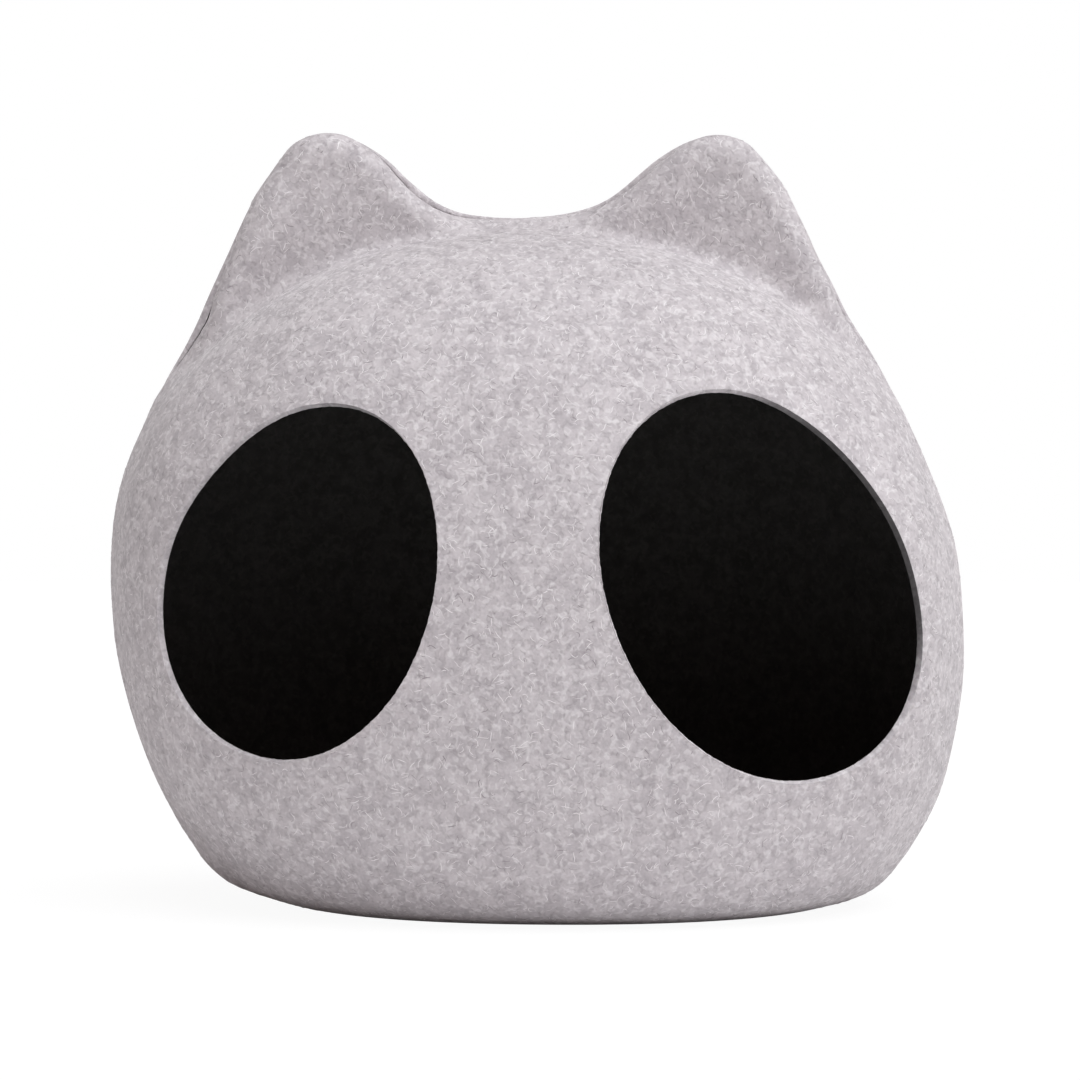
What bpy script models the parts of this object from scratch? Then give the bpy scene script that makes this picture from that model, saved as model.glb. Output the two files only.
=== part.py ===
"""A felt cat cave in the shape of a cat's head, moulded in two halves.

Two deep-drawn shells of thick felt, front and back, meet on the plane y = 0.
The meeting line runs up both sides, over the two ears, across the crown and
under the flat floor. The front shell, on the -Y side, has two slanted oval
openings. Metres, +Z up, origin under the middle of the object.

The outer form is the zero level of a field: a dome and two flat ears joined
by soft blends, cut off by the floor. Each shell is traced over that level in
sections that fan out from the pole, the foremost or rearmost point, to the
seam, and its inner face lies one felt thickness inside.
"""

import math

import bmesh
import bpy
import numpy as np

# Felt
FELT_THICKNESS = 0.0032
SEAM_GAP = 0.0003

# Dome: a rounded body, widest at the cheeks
CHEEK_HALF_WIDTH = 0.205
CHEEK_HEIGHT = 0.1485
CROWN_RISE = 0.180
FOOT_DROP = 0.1835
HALF_DEPTH = 0.160
PLAN_ROUNDNESS = 2.1
CROWN_ROUNDNESS = 2.15
FOOT_ROUNDNESS = 2.41
FLOOR_EDGE_RADIUS = 0.014

# Ears: the hull of a tip disc and a root disc each, filleted in the seam plane
# onto a flat blade that lies buried just under the dome
EAR_TIP_X = 0.094
EAR_TIP_HEIGHT = 0.375
EAR_TIP_RADIUS = 0.0335
EAR_ROOT_X = 0.0905
EAR_ROOT_HEIGHT = 0.301
EAR_ROOT_RADIUS = 0.049
EAR_FILLET = 0.078
BLADE_BURIED = 0.008
BLADE_HALF_THICKNESS = 0.020
BLADE_THICKENING = 0.02
BLADE_THICKENS_OVER = 0.150
BLADE_EDGE_RADIUS = 0.012

# The fold where dome and blade meet is soft at the seam and sharper on the ears' faces
FOLD_BLEND_AT_SEAM = 0.022
FOLD_BLEND_ON_FACE = 0.009
FOLD_SHARPENS_FROM = 0.004
FOLD_SHARPENS_TO = 0.018
FOLD_FOOT = 0.220
FOLD_TOP = 0.275

# The soft body leans to its left as it goes up: slope at LEAN_HEIGHT, and its change per metre
LEAN_HEIGHT = 0.180
LEAN_SLOPE = -0.053
LEAN_CURVE = 0.122

# Oval openings as seen from the front, on the upright body: long and short are
# their full lengths, slant is how far the long axis leans in at the top, in
# degrees, and pear is how much wider, as a share, the oval is low down
OPENINGS = (
    {"side": -1, "x": 0.1029, "z": 0.1601, "long": 0.171, "short": 0.1262, "slant": 27.2, "pear": 0.05},
    {"side": 1, "x": 0.1084, "z": 0.1577, "long": 0.183, "short": 0.1384, "slant": 20.6, "pear": 0.03},
)
OPENING_POINTS = 56
CUTTER_REACH = 0.014
CUTTER_CROWN = 0.050

# Sections round the seam and rows from the seam to the pole
SECTIONS = 80
ROWS = 14
POLE_HEIGHT = 0.165
TRACE_STEP = 0.002
TRACE_STEPS = 320
TURN_WEIGHT = 0.035
TURN_SPREAD = 16
FINE_ANGLES = 720
FIELD_STEP = 0.0001
NOT_ZERO = 1e-9
SEARCH_REACH = 0.4
SEARCH_ROUNDS = 40

SMOOTH_BELOW_DEGREES = 40
FELT_COLOUR = (0.54, 0.51, 0.52, 1.0)
FELT_ROUGHNESS = 0.95


def clear_scene():
    """Removes the objects that a new file starts with."""
    for old in list(bpy.data.objects):
        bpy.data.objects.remove(old, do_unlink=True)


def soft_union(a, b, reach):
    """The smaller of two distances, rounded where they are within reach of each other."""
    overlap = np.maximum(reach - np.abs(a - b), 0) / reach
    return np.minimum(a, b) - overlap * overlap * reach / 4


def smooth_step(value, low, high):
    """0 below low, 1 above high and a smooth rise between."""
    share = np.clip((value - low) / (high - low), 0, 1)
    return share * share * (3 - 2 * share)


def rounded_both(a, b, radius):
    """The larger of two distances, with the outer corner between them rounded."""
    corner = np.hypot(np.maximum(a + radius, 0), np.maximum(b + radius, 0))
    return np.minimum(np.maximum(a, b), -radius) + corner


def dome_distance(x, y, z):
    """Distance to the rounded dome, widest at CHEEK_HEIGHT and drawn in below it."""
    height = z - CHEEK_HEIGHT
    reach_z = np.where(height > 0, CROWN_RISE, FOOT_DROP)
    roundness = np.where(height > 0, CROWN_ROUNDNESS, FOOT_ROUNDNESS)
    plan = (np.abs(x) / CHEEK_HALF_WIDTH) ** PLAN_ROUNDNESS + (np.abs(y) / HALF_DEPTH) ** PLAN_ROUNDNESS
    side = (np.abs(height) / reach_z) ** roundness
    scale = (plan ** (roundness / PLAN_ROUNDNESS) + side) ** (1 / roundness) + NOT_ZERO
    return np.sqrt(x * x + y * y + height * height) * (1 - 1 / scale)


def ear_outline_distance(x, z):
    """Distance in the seam plane to the hull of one ear's root disc and tip disc."""
    tip_z = EAR_TIP_HEIGHT - EAR_TIP_RADIUS
    length = math.hypot(EAR_TIP_X - EAR_ROOT_X, tip_z - EAR_ROOT_HEIGHT)
    along_x = (EAR_TIP_X - EAR_ROOT_X) / length
    along_z = (tip_z - EAR_ROOT_HEIGHT) / length
    from_x = x - EAR_ROOT_X
    from_z = z - EAR_ROOT_HEIGHT
    along = from_x * along_x + from_z * along_z
    across = np.abs(from_z * along_x - from_x * along_z)
    taper = (EAR_ROOT_RADIUS - EAR_TIP_RADIUS) / length
    upright = math.sqrt(1 - taper * taper)
    on_side = along * upright - across * taper
    to_root = np.hypot(across, along) - EAR_ROOT_RADIUS
    to_tip = np.hypot(across, along - length) - EAR_TIP_RADIUS
    to_side = across * upright + along * taper - EAR_ROOT_RADIUS
    past_tip = on_side > upright * length
    return np.where(on_side < 0, to_root, np.where(past_tip, to_tip, to_side))


def blade_distance(x, y, z):
    """Distance to the flat blade that carries both ears."""
    outline = dome_distance(x, 0, z) + BLADE_BURIED
    for side in (-1, 1):
        outline = soft_union(outline, ear_outline_distance(side * x, z), EAR_FILLET)
    drop = np.clip(EAR_TIP_HEIGHT - z, 0, BLADE_THICKENS_OVER)
    half_thickness = BLADE_HALF_THICKNESS + BLADE_THICKENING * drop
    return rounded_both(outline, np.abs(y) - half_thickness, BLADE_EDGE_RADIUS)


def fold_blend(y, z):
    """How softly dome and blade run into each other."""
    sharpening = smooth_step(np.abs(y), FOLD_SHARPENS_FROM, FOLD_SHARPENS_TO)
    sharpening = sharpening * smooth_step(z, FOLD_FOOT, FOLD_TOP)
    return FOLD_BLEND_AT_SEAM + (FOLD_BLEND_ON_FACE - FOLD_BLEND_AT_SEAM) * sharpening


def body_distance(x, y, z):
    """About how far a point lies outside the upright body, negative inside."""
    body = soft_union(dome_distance(x, y, z), blade_distance(x, y, z), fold_blend(y, z))
    return rounded_both(body, -z, FLOOR_EDGE_RADIUS)


def outward(x, y, z):
    """Unit normals of the body at these points."""
    step = FIELD_STEP
    slope = np.stack(
        [
            body_distance(x + step, y, z) - body_distance(x - step, y, z),
            body_distance(x, y + step, z) - body_distance(x, y - step, z),
            body_distance(x, y, z + step) - body_distance(x, y, z - step),
        ],
        axis=-1,
    )
    return slope / np.linalg.norm(slope, axis=-1, keepdims=True)


def first_crossing(value_at, count):
    """For each of count rays, the distance from 0 at which value_at turns positive."""
    near = np.zeros(count)
    far = np.full(count, SEARCH_REACH)
    for _ in range(SEARCH_ROUNDS):
        middle = (near + far) / 2
        outside = value_at(middle) > 0
        far = np.where(outside, middle, far)
        near = np.where(outside, near, middle)
    return near


def seam_radius(angles):
    """How far the seam lies from the pole's axis, where angle 0 points up and a quarter turn to +X."""
    return first_crossing(
        lambda r: body_distance(r * np.sin(angles), 0 * r, POLE_HEIGHT + r * np.cos(angles)), len(angles)
    )


def seam_angles(count):
    """Angles round the pole that share out the seam evenly, and more closely where it bends.

    They run from the crown down one side to the floor, and are mirrored for the other.
    """
    half = count // 2
    fine = np.linspace(0, math.pi, FINE_ANGLES)
    radius = seam_radius(fine)
    points = np.stack([radius * np.sin(fine), radius * np.cos(fine)], axis=1)
    one_side = np.interp(np.linspace(0, 1, half + 1), weighted_travel(points), fine)
    return np.concatenate([one_side, 2 * math.pi - one_side[-2:0:-1]])


def weighted_travel(points):
    """Share of the way along a line of points, 0 to 1.

    Each radian turned counts as TURN_WEIGHT metres, so that bends get more points.
    """
    legs = np.diff(points, axis=0)
    heading = np.unwrap(np.arctan2(legs[:, 1], legs[:, 0]))
    turn = np.abs(np.gradient(heading))
    spread = np.hanning(TURN_SPREAD + 2)
    turn = np.convolve(np.pad(turn, TURN_SPREAD // 2, mode="edge"), spread / spread.sum(), mode="same")
    turn = turn[TURN_SPREAD // 2 : len(turn) - TURN_SPREAD // 2]
    travel = np.concatenate([[0], np.cumsum(np.linalg.norm(legs, axis=1) + TURN_WEIGHT * turn)])
    return travel / travel[-1]


def trace_section(angle):
    """The front half of one section from the seam to the pole, as (distance from the pole's axis, y) rows."""
    across_x = math.sin(angle)
    across_z = math.cos(angle)

    def value(r, y):
        return float(body_distance(r * across_x, y, POLE_HEIGHT + r * across_z))

    def slope(r, y):
        return np.array(
            [
                value(r + FIELD_STEP, y) - value(r - FIELD_STEP, y),
                value(r, y + FIELD_STEP) - value(r, y - FIELD_STEP),
            ]
        ) / (2 * FIELD_STEP)

    here = np.array([seam_radius(np.array([angle]))[0], 0.0])
    line = [here]
    for _ in range(TRACE_STEPS):
        out = slope(*here)
        out /= np.linalg.norm(out)
        here = here + TRACE_STEP * np.array([out[1], -out[0]])
        out = slope(*here)
        here = here - out * value(*here) / (out @ out)
        line.append(here)
        if here[0] <= 0:
            break
    last, end = line[-2], line[-1]
    share = last[0] / (last[0] - end[0])
    line[-1] = last + share * (end - last)
    line = np.array(line)
    even = np.linspace(0, 1, ROWS + 1)
    return np.stack([np.interp(even, weighted_travel(line), line[:, i]) for i in (0, 1)], axis=1)


def half_surface():
    """Points of the front half, seam first: (sections, rows + 1, 3) on the upright body."""
    sheet = []
    for angle in seam_angles(SECTIONS):
        section = trace_section(angle)
        r, y = section[:, 0], section[:, 1]
        sheet.append(np.stack([r * math.sin(angle), y, POLE_HEIGHT + r * math.cos(angle)], axis=1))
    return np.array(sheet)


def lean(points):
    """Leans the upright body as the soft felt stands."""
    rise = points[..., 2] - LEAN_HEIGHT
    leaned = points.copy()
    leaned[..., 0] += LEAN_SLOPE * rise + LEAN_CURVE * rise * rise
    return leaned


def centring_shift(outer):
    """What brings the middle of the leaned body's width to x = 0."""
    across = lean(outer)[..., 0]
    return -(across.min() + across.max()) / 2


def felt_material():
    """Plain light grey felt, quite without gloss."""
    material = bpy.data.materials.new("grey_moulded_felt")
    material.use_nodes = True
    shader = material.node_tree.nodes["Principled BSDF"]
    shader.inputs["Base Color"].default_value = FELT_COLOUR
    shader.inputs["Roughness"].default_value = FELT_ROUGHNESS
    shader.inputs["Metallic"].default_value = 0.0
    return material


def object_from(name, bm, material=None):
    """An object that takes over this bmesh, with its faces turned outwards."""
    mesh = bpy.data.meshes.new(name)
    bmesh.ops.recalc_face_normals(bm, faces=bm.faces)
    bm.to_mesh(mesh)
    bm.free()
    made = bpy.data.objects.new(name, mesh)
    bpy.context.scene.collection.objects.link(made)
    if material:
        mesh.materials.append(material)
    return made


def cap_fan(bm, rim, centre):
    """Closes a ring of vertices with triangles to one in its middle."""
    for first, second in zip(rim, rim[1:] + rim[:1]):
        bm.faces.new((first, second, centre))


def bridge(bm, ring, other):
    """Joins two rings that have equally many vertices with four-sided faces."""
    for i in range(len(ring)):
        j = (i + 1) % len(ring)
        bm.faces.new((ring[i], ring[j], other[j], other[i]))


def build_shell(name, outer, inner, depth_sign, shift, material):
    """One moulded half: outer and inner face joined by the cut edge along the seam."""
    bm = bmesh.new()
    rims = []
    for surface in (outer, inner):
        placed = lean(surface)
        placed[..., 0] += shift
        seam_side = np.minimum(placed[..., 1], -SEAM_GAP / 2)
        placed[..., 1] = seam_side * -depth_sign
        rows = [[bm.verts.new(p) for p in placed[:, row]] for row in range(ROWS)]
        pole = bm.verts.new(placed[:, ROWS].mean(axis=0))
        for row in range(ROWS - 1):
            bridge(bm, rows[row], rows[row + 1])
        cap_fan(bm, rows[-1], pole)
        rims.append(rows[0])
    bridge(bm, *rims)
    bmesh.ops.triangulate(bm, faces=bm.faces, quad_method="SHORT_EDGE")
    shell = object_from(name, bm, material)
    shell.data.shade_smooth()
    shell.data.set_sharp_from_angle(angle=math.radians(SMOOTH_BELOW_DEGREES))
    return shell


def opening_rim(opening):
    """Points of one opening's edge on the outer face, and the outward normals there."""
    turn = np.arange(OPENING_POINTS) * 2 * math.pi / OPENING_POINTS
    slant = math.radians(opening["slant"])
    short = opening["short"] / 2 * np.cos(turn) * (1 - opening["pear"] * np.sin(turn))
    tall = opening["long"] / 2 * np.sin(turn)
    x = opening["side"] * (opening["x"] + short * math.cos(slant) - tall * math.sin(slant))
    z = opening["z"] + short * math.sin(slant) + tall * math.cos(slant)
    y = -first_crossing(lambda depth: body_distance(x, -depth, z), OPENING_POINTS)
    return np.stack([x, y, z], axis=1), outward(x, y, z)


def build_cutter(opening, shift):
    """A plug that follows the felt's normals, so that the opening is cut square to the felt."""
    rim, normals = opening_rim(opening)
    bm = bmesh.new()
    rings = []
    for reach, crown in ((CUTTER_REACH, CUTTER_CROWN), (-CUTTER_REACH, 0)):
        placed = lean(rim + reach * normals)
        placed[:, 0] += shift
        ring = [bm.verts.new(p) for p in placed]
        cap_fan(bm, ring, bm.verts.new(placed.mean(axis=0) - [0, crown, 0]))
        rings.append(ring)
    bridge(bm, *rings)
    cutter = object_from("opening_cutter", bm)
    cutter.hide_render = True
    cutter.display_type = "WIRE"
    return cutter


def cut_openings(shell, shift):
    """Cuts both ovals out of the shell, with a Boolean each."""
    for opening in OPENINGS:
        cut = shell.modifiers.new("opening", "BOOLEAN")
        cut.operation = "DIFFERENCE"
        cut.solver = "EXACT"
        cut.object = build_cutter(opening, shift)


def main():
    clear_scene()
    outer = half_surface()
    inner = outer - FELT_THICKNESS * outward(outer[..., 0], outer[..., 1], outer[..., 2])
    shift = centring_shift(outer)
    felt = felt_material()
    front = build_shell("front_shell", outer, inner, -1, shift, felt)
    build_shell("back_shell", outer, inner, 1, shift, felt.copy())
    cut_openings(front, shift)


main()
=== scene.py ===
"""Looks of a felt cat cave: two pressed felt shells, the curled fibres on them, floor, light and camera.

The cave is a cat's head of thick grey felt. Its front and its back are pressed over a mould and
meet on the plane y = 0; the front, on the -Y side, has two slanted oval openings. The felt is
worked out from the same form as the solids: a dome and two flat ears joined by soft folds. Each
shell is a dense sheet with an outer and an inner face and rounded cut edges. Metres, +Z up.
"""

from __future__ import annotations

import logging
import math
from collections.abc import Callable
from dataclasses import dataclass, field, replace
from enum import Enum, IntEnum
from typing import ClassVar

import bpy
import numpy as np
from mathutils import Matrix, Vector, geometry


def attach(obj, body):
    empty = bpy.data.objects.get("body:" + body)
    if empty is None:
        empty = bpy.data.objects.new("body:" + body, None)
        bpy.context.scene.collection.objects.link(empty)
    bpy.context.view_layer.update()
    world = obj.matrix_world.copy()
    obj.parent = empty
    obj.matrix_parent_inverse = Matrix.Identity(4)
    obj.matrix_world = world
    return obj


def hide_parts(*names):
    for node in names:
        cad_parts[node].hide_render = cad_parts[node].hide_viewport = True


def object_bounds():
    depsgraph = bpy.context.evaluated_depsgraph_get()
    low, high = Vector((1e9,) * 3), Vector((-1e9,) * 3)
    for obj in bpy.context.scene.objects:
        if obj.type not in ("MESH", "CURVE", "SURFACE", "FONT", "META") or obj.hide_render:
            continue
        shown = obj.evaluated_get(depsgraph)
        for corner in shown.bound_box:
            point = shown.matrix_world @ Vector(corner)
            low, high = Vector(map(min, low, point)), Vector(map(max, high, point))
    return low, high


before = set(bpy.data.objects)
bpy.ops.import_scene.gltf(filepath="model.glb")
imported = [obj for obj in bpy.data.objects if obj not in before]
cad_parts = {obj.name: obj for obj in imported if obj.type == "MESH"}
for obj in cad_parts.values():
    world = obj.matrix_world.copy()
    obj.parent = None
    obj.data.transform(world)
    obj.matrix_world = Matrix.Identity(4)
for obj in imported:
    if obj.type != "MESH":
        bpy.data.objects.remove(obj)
CAD_BOX = [list(corner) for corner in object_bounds()]

MM = 0.001
BODY = "root"
LOG = logging.getLogger("cat_cave")
# name of the value that says how far each cut-edge point is turned to the shade; the cut edge's material
# paints shade from it
TURNED_TO_SHADE = "turned_to_shade"

Array = np.ndarray
Place = tuple[float, float, float]
Range = tuple[float, float]
Socket = bpy.types.NodeSocket
Value = bpy.types.NodeSocket | float


def linear(colour: str, alpha: float = 1.0) -> tuple[float, float, float, float]:
    """Turns an sRGB colour into the linear values that shaders take.

    Args:
        colour: six hex digits after a hash sign.
        alpha: opacity, which stays as it is.

    Returns:
        Linear red, green, blue and alpha.
    """
    parts = (int(colour[i : i + 2], 16) / 255 for i in (1, 3, 5))
    red, green, blue = (p / 12.92 if p <= 0.04045 else ((p + 0.055) / 1.055) ** 2.4 for p in parts)
    return red, green, blue, alpha


def smooth_step(value: Array, low: float, high: float) -> Array:
    """0 below low, 1 above high and a smooth rise between."""
    share = np.clip((value - low) / (high - low), 0, 1)
    return share * share * (3 - 2 * share)


def unit(vectors: Array) -> Array:
    """The vectors at length 1."""
    return vectors / np.maximum(np.linalg.norm(vectors, axis=-1, keepdims=True), 1e-12)


def soft_union(a: Array, b: Array, reach: float) -> Array:
    """The smaller of two distances, rounded where they are within reach of each other."""
    overlap = np.maximum(reach - np.abs(a - b), 0) / reach
    return np.minimum(a, b) - overlap * overlap * reach / 4


def rounded_both(a: Array, b: Array, radius: float) -> Array:
    """The larger of two distances, with the outer corner between them rounded."""
    corner = np.hypot(np.maximum(a + radius, 0), np.maximum(b + radius, 0))
    return np.minimum(np.maximum(a, b), -radius) + corner


def inside_outline(points: Array, outline: Array) -> Array:
    """Tells which points lie inside a closed outline.

    Args:
        points: (n, 2) places.
        outline: (m, 2) corners in order.

    Returns:
        One truth value for each point.
    """
    inside = np.zeros(len(points), bool)
    for (ax, ay), (bx, by) in zip(outline, np.roll(outline, -1, axis=0)):
        if ay == by:
            continue
        crosses = (points[:, 1] < ay) != (points[:, 1] < by)
        inside ^= crosses & (points[:, 0] < ax + (points[:, 1] - ay) / (by - ay) * (bx - ax))
    return inside


class Half(Enum):
    """Which half of the cave a shell makes; the value is the sign of its y."""

    FRONT = -1
    BACK = 1


class Side(IntEnum):
    """Which side of the felt a face is on; the value is its material's place on the shell."""

    OUTER = 0
    INNER = 1
    CUT = 2


@dataclass(frozen=True)
class Opening:
    """An oval opening as seen from the front, on the upright body.

    side is -1 or 1, x and z its middle, long and short its full lengths, slant how far the long
    axis leans in at the top, in degrees, and pear how much wider, as a share, it is low down.
    """

    side: int
    x: float
    z: float
    long: float
    short: float
    slant: float
    pear: float

    def outline(self, turn: Array) -> tuple[Array, Array]:
        """Places on the oval.

        Args:
            turn: angles round the oval.

        Returns:
            Their x and z.
        """
        slant = math.radians(self.slant)
        short = self.short / 2 * np.cos(turn) * (1 - self.pear * np.sin(turn))
        tall = self.long / 2 * np.sin(turn)
        x = self.side * (self.x + short * math.cos(slant) - tall * math.sin(slant))
        return x, self.z + short * math.sin(slant) + tall * math.cos(slant)


OPENINGS = (
    Opening(side=-1, x=0.1029, z=0.1601, long=0.171, short=0.1262, slant=27.2, pear=0.05),
    Opening(side=1, x=0.1084, z=0.1577, long=0.183, short=0.1384, slant=20.6, pear=0.03),
)


@dataclass(frozen=True)
class BodyForm:
    """The outer form of the cave on the upright body, as a field that is negative inside."""

    cheek_half_width: float = 0.205
    cheek_height: float = 0.1485
    crown_rise: float = 0.180
    foot_drop: float = 0.1835
    half_depth: float = 0.160
    plan_roundness: float = 2.1
    crown_roundness: float = 2.15
    foot_roundness: float = 2.41
    floor_edge_radius: float = 0.014
    ear_tip_x: float = 0.094
    ear_tip_height: float = 0.375
    ear_tip_radius: float = 0.0335
    ear_root_x: float = 0.0905
    ear_root_height: float = 0.301
    ear_root_radius: float = 0.049
    ear_fillet: float = 0.078
    blade_buried: float = 0.008
    blade_half_thickness: float = 0.020
    blade_thickening: float = 0.02
    blade_thickens_over: float = 0.150
    blade_edge_radius: float = 0.012
    fold_blend_at_seam: float = 0.022
    fold_blend_on_face: float = 0.009
    fold_sharpens_from: float = 0.004
    fold_sharpens_to: float = 0.018
    fold_foot: float = 0.220
    fold_top: float = 0.275
    pole_height: float = 0.165
    step: float = 0.0001
    past_the_body: float = 0.4
    halvings: int = 36

    def dome(self, x: Array, y: Array, z: Array) -> Array:
        """Distance to the rounded dome, widest at the cheeks.

        Args:
            x: places across.
            y: places from front to back.
            z: heights.

        Returns:
            Each place's distance, negative inside.
        """
        height = z - self.cheek_height
        reach = np.where(height > 0, self.crown_rise, self.foot_drop)
        roundness = np.where(height > 0, self.crown_roundness, self.foot_roundness)
        across = (np.abs(x) / self.cheek_half_width) ** self.plan_roundness
        along = (np.abs(y) / self.half_depth) ** self.plan_roundness
        side = (np.abs(height) / reach) ** roundness
        bulge = (across + along) ** (roundness / self.plan_roundness) + side
        scale = bulge ** (1 / roundness) + 1e-9
        return np.sqrt(x * x + y * y + height * height) * (1 - 1 / scale)

    def ear_outline(self, x: Array, z: Array) -> Array:
        """Distance in the seam plane to the hull of one ear's root disc and tip disc.

        Args:
            x: places across, positive on the ear's own side.
            z: heights.

        Returns:
            Each place's distance, negative inside.
        """
        rise = self.ear_tip_height - self.ear_tip_radius - self.ear_root_height
        length = math.hypot(self.ear_tip_x - self.ear_root_x, rise)
        along_x = (self.ear_tip_x - self.ear_root_x) / length
        along_z = rise / length
        from_x = x - self.ear_root_x
        from_z = z - self.ear_root_height
        along = from_x * along_x + from_z * along_z
        across = np.abs(from_z * along_x - from_x * along_z)
        taper = (self.ear_root_radius - self.ear_tip_radius) / length
        upright = math.sqrt(1 - taper * taper)
        on_side = along * upright - across * taper
        to_root = np.hypot(across, along) - self.ear_root_radius
        to_tip = np.hypot(across, along - length) - self.ear_tip_radius
        to_side = across * upright + along * taper - self.ear_root_radius
        return np.where(on_side < 0, to_root, np.where(on_side > upright * length, to_tip, to_side))

    def blade(self, x: Array, y: Array, z: Array) -> Array:
        """Distance to the flat blade that carries both ears.

        Args:
            x: places across.
            y: places from front to back.
            z: heights.

        Returns:
            Each place's distance, negative inside.
        """
        outline = self.dome(x, 0 * y, z) + self.blade_buried
        for side in (-1, 1):
            outline = soft_union(outline, self.ear_outline(side * x, z), self.ear_fillet)
        drop = np.clip(self.ear_tip_height - z, 0, self.blade_thickens_over)
        half_thickness = self.blade_half_thickness + self.blade_thickening * drop
        return rounded_both(outline, np.abs(y) - half_thickness, self.blade_edge_radius)

    def distance(self, points: Array) -> Array:
        """Distance to the whole body: the dome and the blade with the folds between them, cut flat below.

        Args:
            points: places on the upright body.

        Returns:
            About how far each lies outside the body, negative inside.
        """
        x, y, z = points[..., 0], points[..., 1], points[..., 2]
        sharpening = smooth_step(np.abs(y), self.fold_sharpens_from, self.fold_sharpens_to)
        sharpening = sharpening * smooth_step(z, self.fold_foot, self.fold_top)
        fold = self.fold_blend_at_seam + (self.fold_blend_on_face - self.fold_blend_at_seam) * sharpening
        body = soft_union(self.dome(x, y, z), self.blade(x, y, z), fold)
        return rounded_both(body, -z, self.floor_edge_radius)

    def slope(self, points: Array) -> Array:
        """How the distance changes along x, y and z.

        Args:
            points: places near the surface.

        Returns:
            The change for each place, as a vector that points outwards.
        """
        changes = []
        for axis in np.eye(3) * self.step:
            changes.append(self.distance(points + axis) - self.distance(points - axis))
        return np.stack(changes, axis=-1) / (2 * self.step)

    def outward(self, points: Array) -> Array:
        """Unit normals of the body at these points."""
        return unit(self.slope(points))

    def settle(self, points: Array, rounds: int = 2) -> Array:
        """Moves points near the body's surface onto it.

        Args:
            points: places near the surface.
            rounds: how often each is moved down or up the slope.

        Returns:
            The places on the surface.
        """
        for _ in range(rounds):
            slope = self.slope(points)
            steep = np.maximum((slope * slope).sum(axis=-1), 1e-9)
            points = points - slope * (self.distance(points) / steep)[..., None]
        return points

    def first_crossing(self, at: Callable[[Array], Array], count: int) -> Array:
        """Finds where rays leave the body.

        Args:
            at: gives the points on the rays at these distances from their start.
            count: how many rays there are.

        Returns:
            Each ray's distance from its start, which is inside, to the surface.
        """
        near = np.zeros(count)
        far = np.full(count, self.past_the_body)
        for _ in range(self.halvings):
            middle = (near + far) / 2
            outside = self.distance(at(middle)) > 0
            far = np.where(outside, middle, far)
            near = np.where(outside, near, middle)
        return near

    def seam_points(self, angles: Array) -> Array:
        """Places on the seam.

        Args:
            angles: directions from the pole, where 0 points up and a quarter turn to +X.

        Returns:
            One place for each angle.
        """
        away = np.stack([np.sin(angles), 0 * angles, np.cos(angles)], axis=1)
        pole = np.array([0, 0, self.pole_height])
        reach = self.first_crossing(lambda r: pole + r[:, None] * away, len(angles))
        return pole + reach[:, None] * away


@dataclass(frozen=True)
class FrontMap:
    """Table of places over the front half: one line from the pole to the seam for each angle."""

    form: BodyForm
    angles: int = 1080
    rows: int = 160
    march: float = 0.0015
    turn_weight: float = 0.012
    turn_spread: int = 12

    def lines(self) -> Array:
        """Marches over the surface from the seam to the pole, all angles at once.

        Returns:
            (angles, rows + 1, 3) places, the pole first.
        """
        angles = np.arange(self.angles) * 2 * math.pi / self.angles
        away = np.stack([np.sin(angles), 0 * angles, np.cos(angles)], axis=1)
        here = self.form.seam_points(angles)
        track = [here]
        done = np.zeros(self.angles, bool)
        while not done.all():
            out = self.form.slope(here)
            in_plane = np.stack([(out * away).sum(axis=1), out[:, 1]], axis=1)
            in_plane = unit(in_plane)
            ahead = here + self.march * (in_plane[:, 1:] * away - in_plane[:, :1] * [0, 1, 0])
            out = self.form.slope(ahead)
            along, depth = (out * away).sum(axis=1), out[:, 1]
            level = self.form.distance(ahead) / (along**2 + depth**2)
            ahead = ahead - level[:, None] * (along[:, None] * away + depth[:, None] * [0, 1, 0])
            here = np.where(done[:, None], here, ahead)
            track.append(here)
            done |= ((here - [0, 0, self.form.pole_height]) * away).sum(axis=1) <= 0
        return np.stack([self.even_rows(line, axis) for line, axis in zip(np.stack(track, axis=1), away)])

    def even_rows(self, line: Array, away: Array) -> Array:
        """Shares one line out into rows, closer together where it bends.

        Args:
            line: places from the seam to just past the pole.
            away: the direction in which distance from the pole's axis counts.

        Returns:
            (rows + 1, 3) places, the pole first.
        """
        reach = (line - [0, 0, self.form.pole_height]) @ away
        last = int(np.argmax(reach <= 0))
        share = reach[last - 1] / (reach[last - 1] - reach[last])
        end = line[last - 1] + share * (line[last] - line[last - 1])
        line = np.concatenate([line[:last], end[None]])
        legs = np.diff(line, axis=0)
        heading = np.unwrap(np.arctan2(legs[:, 1], legs @ away))
        spread = np.hanning(self.turn_spread * 2 + 1)
        turn = np.pad(np.abs(np.gradient(heading)), self.turn_spread, mode="edge")
        turn = np.convolve(turn, spread / spread.sum(), mode="valid")
        travel = np.concatenate([[0], np.cumsum(np.linalg.norm(legs, axis=1) + self.turn_weight * turn)])
        even = np.linspace(1, 0, self.rows + 1) * travel[-1]
        return np.stack([np.interp(even, travel, line[:, i]) for i in range(3)], axis=1)


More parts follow.
